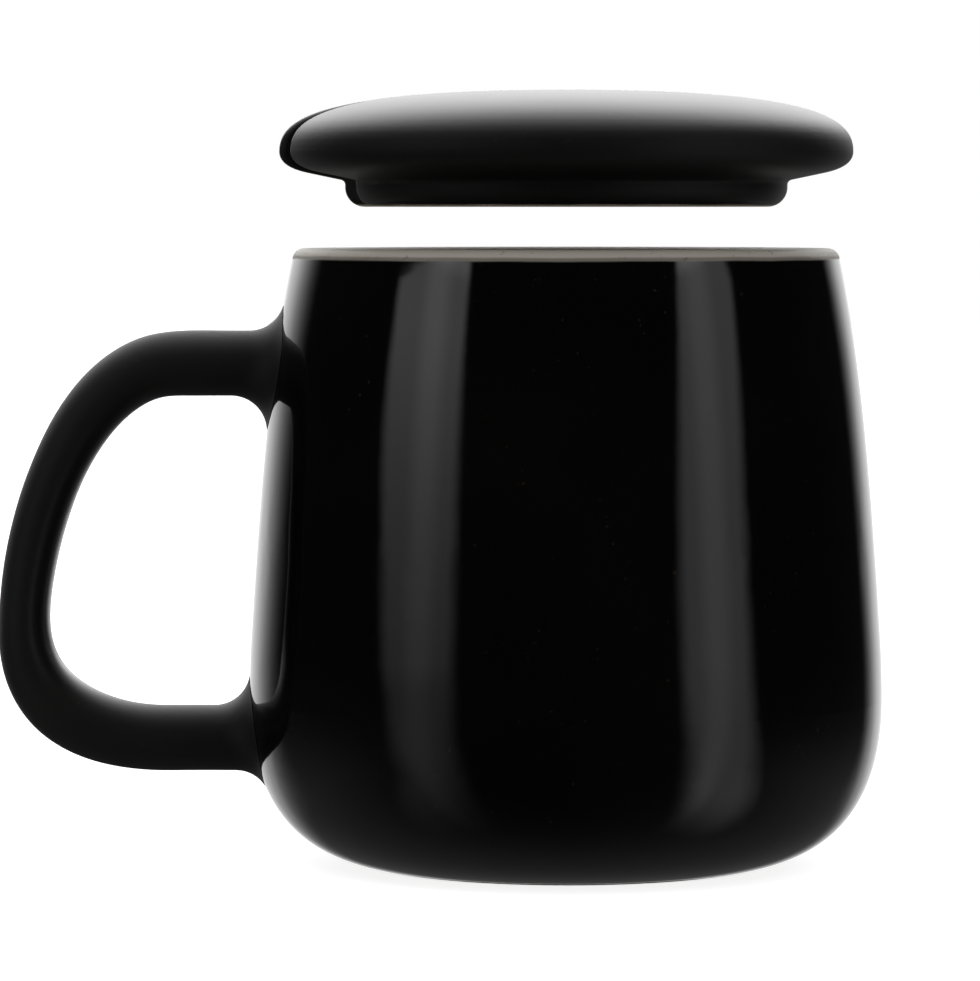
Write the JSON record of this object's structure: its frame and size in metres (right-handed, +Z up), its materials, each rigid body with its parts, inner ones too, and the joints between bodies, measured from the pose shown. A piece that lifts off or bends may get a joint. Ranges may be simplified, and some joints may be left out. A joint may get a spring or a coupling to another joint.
{
  "type": "lidded tea mug with infuser",
  "caption": "Rounded glazed mug with a loop handle, a lift-off domed lid with an edge notch, and a slotted steel infuser basket seated in its mouth.",
  "frame": {"origin": "centre of the foot ring, on the mug's axis, in the plane that the mug stands on", "axes": "+Z up along the mug's axis; the handle points along -X and is symmetric about the XZ plane"},
  "size_m": [0.1366, 0.0978, 0.1197],
  "materials": {
    "mug_glaze": "gloss",
    "handle_glaze": "gloss",
    "lid_glaze": "satin",
    "rim_ring_steel": "satin",
    "basket_steel": "satin",
    "hoop_steel": "satin",
    "floor_steel": "satin"
  },
  "bodies": {
    "mug": {"mug_body": "mug_glaze", "handle": "handle_glaze"},
    "infuser": {"infuser_rim_ring": "rim_ring_steel", "infuser_wall": "basket_steel", "infuser_base_hoop": "hoop_steel", "infuser_floor": "floor_steel"},
    "lid": {"lid": "lid_glaze"}
  },
  "joints": [
    {"name": "infuser_lift", "type": "slide", "parent": "mug", "child": "infuser", "axis": [0, 0, 1], "range_m": [0, 0.085]},
    {"name": "lid_lift", "type": "slide", "parent": "infuser", "child": "lid", "axis": [0, 0, 1], "range_m": [-0.0113, 0.06]}
  ]
}
